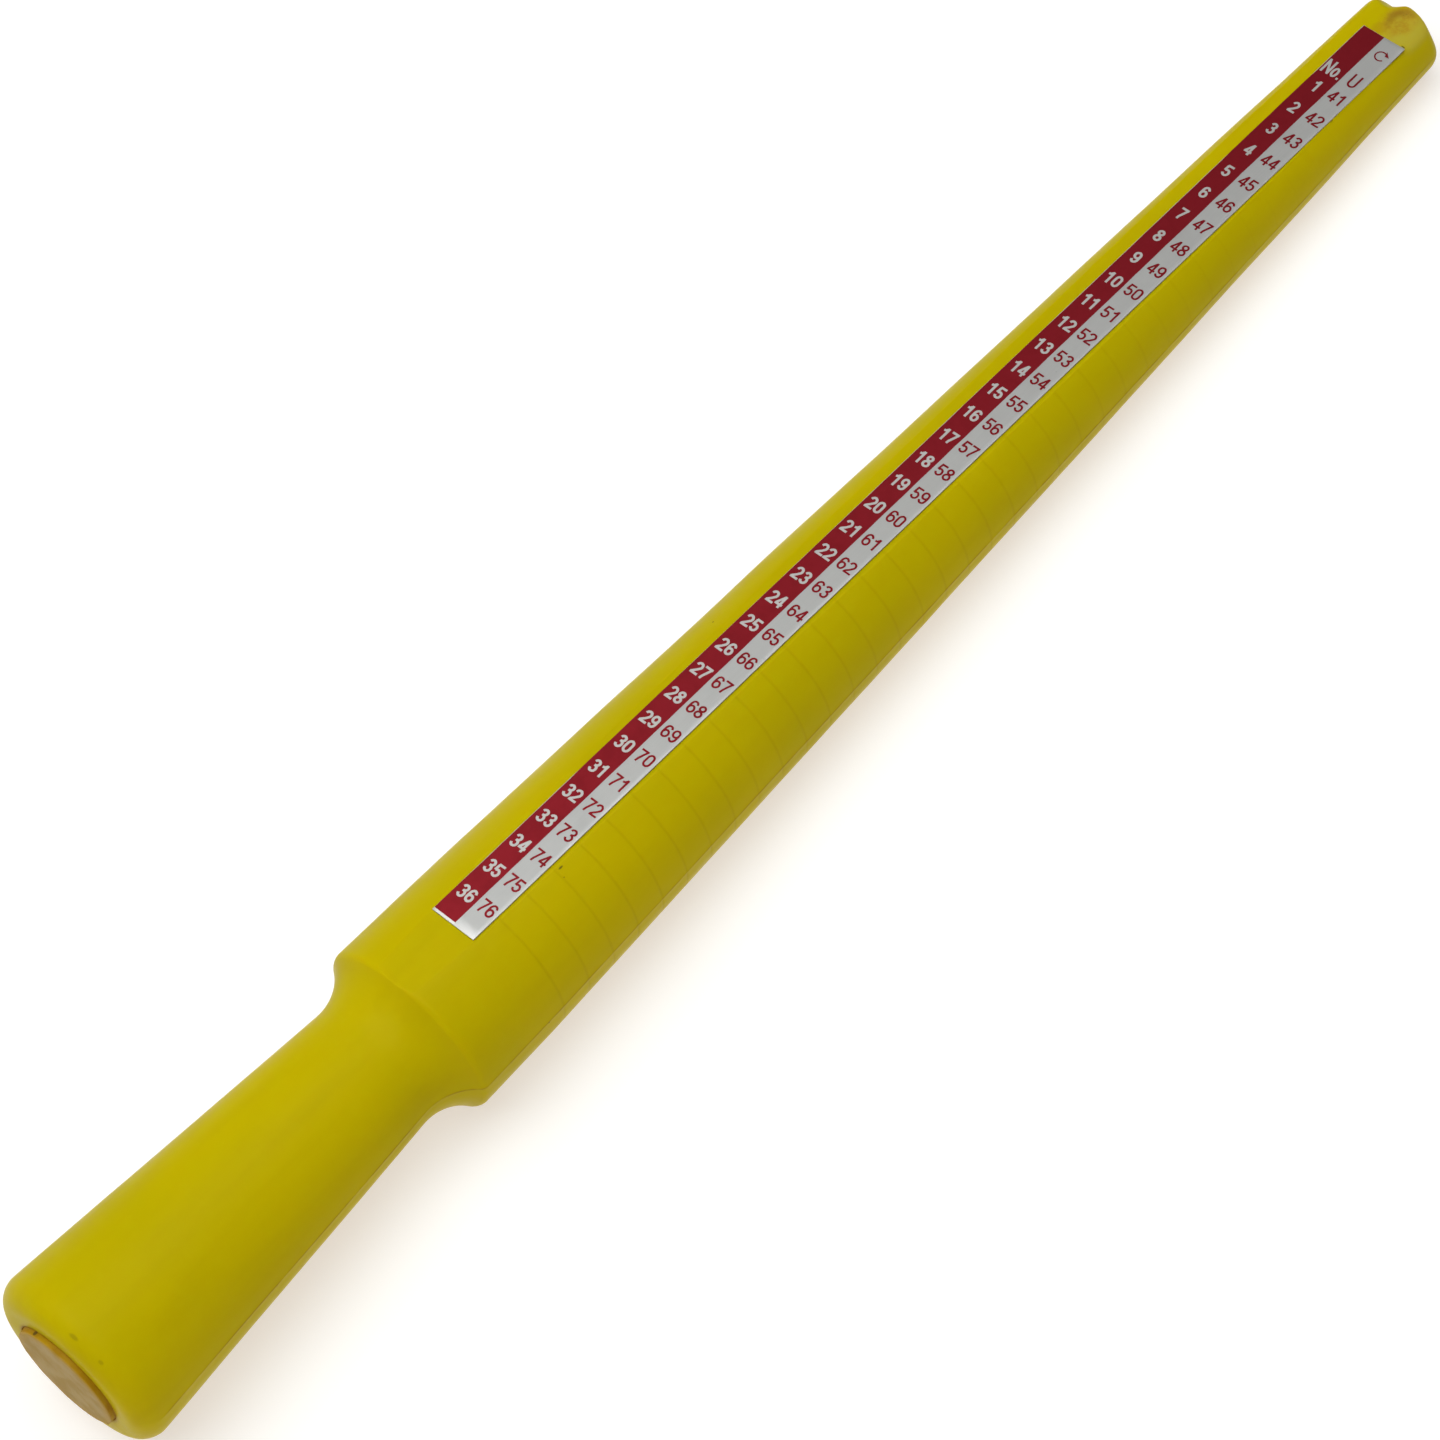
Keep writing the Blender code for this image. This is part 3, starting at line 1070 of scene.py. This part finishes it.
def sawn_plastic(axes):
    """The plug's plastic: a pale sawn face with an orange rim, and a side in painted shade that darkens
    deeper in the crevice.
    """
    make = Recipe("cut_plastic_look", axes)
    place = make.part("X")
    cloud = make.noise(3.2, 4.0, 0.55)
    saw = make.noise(1.0, 3.0, 0.6, along=(1.0, 0.22, 3.5), seed=3.0)
    face = make.blend(make.span(cloud, 0.38, 0.64), SAWN, SAWN_CLOUD)
    face = make.blend(make.span(saw, 0.45, 0.7, 0.0, 0.15), face, SAWN_MARK)
    greenish = make.span(make.noise(2.0, 3.0, 0.5, seed=8.0), 0.58, 0.7, 0.0, 0.35)
    face = make.blend(greenish, face, SAWN_GREEN)
    worn_rim = make.span(make.from_axis(), PLUG_RADIUS - 1.6, PLUG_RADIUS, 0.0, 0.8)
    face = make.blend(worn_rim, face, SAWN_RIM)
    # Painted shade: the plug's side is orange-brown for plastic in shade, and darker deeper into the
    # crevice.
    side = make.blend(make.span(cloud, 0.4, 0.6), PLUG_SIDE_SHADE, PLUG_SIDE_SHADE_CLOUD)
    side = make.blend(make.span(place, 0.5, 0.8), side, PLUG_SIDE_DEEP_SHADE)
    colour = make.blend(make.span(place, 0.08, 0.22), face, side)
    dirt = make.near((0.55, 3.47, 6.53), 0.42, (1.0, 1.0, 1.0), 0.5)
    colour = make.tint(colour, PLUG_DIRT, dirt, 0.8)
    normal = make.bump(saw, 0.35, 0.03)
    normal = make.bump(make.noise(0.25, 3.0, 0.6, seed=5.0), 0.3, 0.02, normal)
    roughness = make.span(cloud, 0.3, 0.7, 0.52, 0.66)
    return make.finish(
        colour,
        roughness,
        normal,
        subsurface_weight=0.12,
        subsurface_radius=(1.0, 0.6, 0.2),
        subsurface_scale=0.001,
        specular_ior_level=0.1,
    )


# The strip's bare metal, its primed side under the field, and the ink.
METAL = (0.51, 0.48, 0.485)
METAL_SMUDGE = (0.455, 0.43, 0.435)
METAL_GRAIN = (0.57, 0.545, 0.545)
METAL_PRIMER = (0.62, 0.58, 0.57)
METAL_SPECKLE = (0.20, 0.185, 0.16)
MAROON = (0.285, 0.013, 0.022)
MAROON_CLOUD = (0.235, 0.010, 0.017)
MAROON_PINHOLE = (0.36, 0.04, 0.05)
AMBER = (0.16, 0.10, 0.03)
AMBER_CLOUD = (0.10, 0.06, 0.02)
TAPE_DUST = (0.03, 0.02, 0.015)


def bare_metal(axes):
    """Rolled aluminium with its fine lengthwise grain, dulled by handling."""
    make = Recipe("printed_metal_look", axes)
    grain = make.noise(1.0, 3.0, 0.6, along=(9.0, 0.06, 1.0))
    smudge = make.noise(7.0, 3.0, 0.55, seed=4.0)
    speckle = make.noise(0.5, 3.0, 0.6, seed=6.0)
    colour = make.blend(make.span(smudge, 0.35, 0.7), METAL, METAL_SMUDGE)
    colour = make.blend(make.span(grain, 0.4, 0.65, 0.0, 0.2), colour, METAL_GRAIN)
    primed = make.span(make.part("Y"), FIELD_EDGE - 0.04, FIELD_EDGE + 0.04, 0.0, 0.55)
    colour = make.blend(primed, colour, METAL_PRIMER)
    colour = make.blend(make.span(speckle, 0.70, 0.78, 0.0, 0.5), colour, METAL_SPECKLE)
    normal = make.bump(grain, 0.25, 0.01)
    roughness = make.span(smudge, 0.3, 0.7, 0.36, 0.5)
    return make.finish(colour, roughness, normal, metallic=0.45)


def maroon_ink(axes):
    """Screen-printed ink: thin, slightly patchy, with pinholes."""
    make = Recipe("printed_ink_look", axes)
    cloud = make.noise(4.0, 3.0, 0.55)
    fine = make.noise(0.4, 3.0, 0.6, seed=2.0)
    colour = make.blend(make.span(cloud, 0.35, 0.68), MAROON, MAROON_CLOUD)
    colour = make.blend(make.span(fine, 0.60, 0.8, 0.0, 0.3), colour, MAROON_PINHOLE)
    normal = make.bump(fine, 0.2, 0.01)
    roughness = make.span(cloud, 0.3, 0.7, 0.36, 0.48)
    return make.finish(colour, roughness, normal, metallic=0.6, specular_ior_level=0.12)


def amber_tape(axes):
    """Double-sided tape, yellowed and dusty at its edges."""
    make = Recipe("clear_tape_look", axes)
    cloud = make.noise(2.0, 4.0, 0.6)
    fine = make.noise(0.3, 3.0, 0.6, seed=4.0)
    colour = make.blend(make.span(cloud, 0.4, 0.6), AMBER, AMBER_CLOUD)
    colour = make.blend(make.span(fine, 0.6, 0.75, 0.0, 0.5), colour, TAPE_DUST)
    normal = make.bump(fine, 0.4, 0.03)
    roughness = make.span(cloud, 0.3, 0.7, 0.45, 0.65)
    return make.finish(colour, roughness, normal)


def floor_look():
    """A plain pale floor that glows a little, so that it turns out white."""
    make = Recipe("floor_look", Matrix())
    soft = make.noise(60.0, 2.0, 0.5)
    colour = make.blend(make.span(soft, 0.3, 0.7), FLOOR_GREY, FLOOR_GREY_CLOUD)
    return make.finish(
        colour,
        FLOOR_ROUGHNESS,
        specular_ior_level=0.1,
        emission_color=(*FLOOR_GLOW, 1.0),
        emission_strength=FLOOR_GLOW_STRENGTH,
    )


# --- Stage ---

# The camera in the mandrel's axes: what it aims at, how far off it is, and how it's turned.
AIM = (113.5, -0.117, -0.057)
CAMERA_DISTANCE = 632.0
CAMERA_LEAN = math.radians(20.4)
CAMERA_ROUND = math.radians(26.0)
CAMERA_ROLL = math.radians(45.18)
LENS = 129.4
SENSOR = 36.0

# The lights in the row frame: each one's place in metres, power in watts and tint.
LIGHT_SIZE = 1.2
LIGHT_AIM = (-0.03, 0.0, 0.0)
LIGHTS = {
    "key": ((-0.06, 0.05, 1.1), 12.4, (0.92, 1.0, 0.95)),
    "fill": ((-0.5, 0.3, 1.1), 5.0, (1.0, 1.0, 1.0)),
}

# The floor, whose size is half its side in metres.
FLOOR_SIZE = 4.0
FLOOR_GREY = (0.49, 0.49, 0.495)
FLOOR_GREY_CLOUD = (0.51, 0.51, 0.515)
FLOOR_ROUGHNESS = 0.85
FLOOR_GLOW = (1.0, 0.94, 0.94)
FLOOR_GLOW_STRENGTH = 0.60

# The room's light goes from the horizon's to its own between two heights of a direction of length 1.
HORIZON_TOP = 0.09
HORIZON_FADE = 0.13
HORIZON_STRENGTH = 0.62
ROOM_STRENGTH = 0.045
ROOM_TINT = (1.0, 0.95, 0.91)


def camera_back():
    """The direction from the mandrel to the camera, in the mandrel's axes."""
    level = math.cos(CAMERA_LEAN)
    across = -level * math.sin(CAMERA_ROUND)
    return Vector((-math.sin(CAMERA_LEAN), across, level * math.cos(CAMERA_ROUND)))


def make_camera(axes):
    back = camera_back()
    along = (Vector((1.0, 0.0, 0.0)) - back * back.x).normalized()
    across = back.cross(along)
    right = along * math.cos(CAMERA_ROLL) - across * math.sin(CAMERA_ROLL)
    up = along * math.sin(CAMERA_ROLL) + across * math.cos(CAMERA_ROLL)
    turned = Matrix((right, up, back)).transposed().to_4x4()
    at = Matrix.Translation((Vector(AIM) + back * CAMERA_DISTANCE) * MM)
    data = bpy.data.cameras.new("camera")
    data.lens = LENS
    data.sensor_width = SENSOR
    data.clip_start = 0.01
    camera = new_object("camera", data)
    camera.matrix_world = axes @ at @ turned
    bpy.context.scene.camera = camera


def make_light(name, place, watts, tint):
    """A square area light that faces the mandrel."""
    data = bpy.data.lights.new(name, "AREA")
    data.size = LIGHT_SIZE
    data.energy = watts
    data.color = tint
    light = new_object(name, data)
    light.location = place
    light.rotation_euler = (Vector(place) - Vector(LIGHT_AIM)).to_track_quat("Z", "Y").to_euler()


def make_floor():
    shape = bmesh.new()
    bmesh.ops.create_grid(shape, x_segments=8, y_segments=8, size=FLOOR_SIZE)
    floor = new_object("floor", mesh_from("floor", shape, floor_look()))


def make_world():
    """A dim room that is pale at the horizon, where it meets the floor's far edge."""
    world = bpy.data.worlds.new("studio")
    world.use_nodes = True
    nodes = world.node_tree.nodes
    links = world.node_tree.links
    direction = nodes.new("ShaderNodeTexCoord")
    parts = nodes.new("ShaderNodeSeparateXYZ")
    links.new(direction.outputs["Generated"], parts.inputs[0])
    fade = nodes.new("ShaderNodeMapRange")
    fade.interpolation_type = "SMOOTHSTEP"
    links.new(parts.outputs["Z"], fade.inputs["Value"])
    fill_in(fade, limits(HORIZON_TOP, HORIZON_FADE, HORIZON_STRENGTH, ROOM_STRENGTH))
    background = nodes["Background"]
    fill_in(background, {"Color": (*ROOM_TINT, 1.0)})
    links.new(fade.outputs["Result"], background.inputs["Strength"])
    return world


def make_stage():
    make_floor()
    for name, (place, watts, tint) in LIGHTS.items():
        make_light(name, place, watts, tint)
    scene = bpy.context.scene
    scene.world = make_world()
    scene.view_settings.view_transform = "Standard"


# --- The whole ---


def make_strip(axes):
    """The metal strip, the tape under it and the print on it."""
    strip = strip_axes()
    place = axes @ Matrix.Translation(strip.translation * MM) @ strip.to_3x3().to_4x4()
    strip_top = TAPE_THICKNESS + STRIP_THICKNESS

    tape_length = STRIP_LENGTH - 2 * TAPE_MARGIN_ALONG
    tape_width = STRIP_WIDTH - 2 * TAPE_MARGIN_ACROSS
    tape_shape = slab(tape_length, tape_width, 0.0, TAPE_THICKNESS, TAPE_RAGGEDNESS, 3)
    piece_from("adhesive_layer", tape_shape, amber_tape(place), "adhesive_tape", place)

    strip_shape = slab(STRIP_LENGTH, STRIP_WIDTH, TAPE_THICKNESS, strip_top, STRIP_RAGGEDNESS, 5)
    metal_look = bare_metal(place)
    metal = piece_from("metal_strip", strip_shape, metal_look, "scale_strip", place)
    finish_shading(metal, 40)
    make_print(maroon_ink(place), place, strip_top)


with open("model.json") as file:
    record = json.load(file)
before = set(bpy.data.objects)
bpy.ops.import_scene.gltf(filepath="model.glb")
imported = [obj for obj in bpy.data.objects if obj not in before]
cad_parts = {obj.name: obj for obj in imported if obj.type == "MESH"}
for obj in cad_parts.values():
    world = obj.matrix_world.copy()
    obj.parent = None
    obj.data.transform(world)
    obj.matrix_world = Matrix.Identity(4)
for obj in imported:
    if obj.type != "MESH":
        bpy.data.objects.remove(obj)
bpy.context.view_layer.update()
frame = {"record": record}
axes = mandrel_axes(frame["record"])

make_camera(axes)
make_stage()
make_body(yellow_plastic(axes), axes)
make_plug(sawn_plastic(axes), axes)
make_strip(axes)
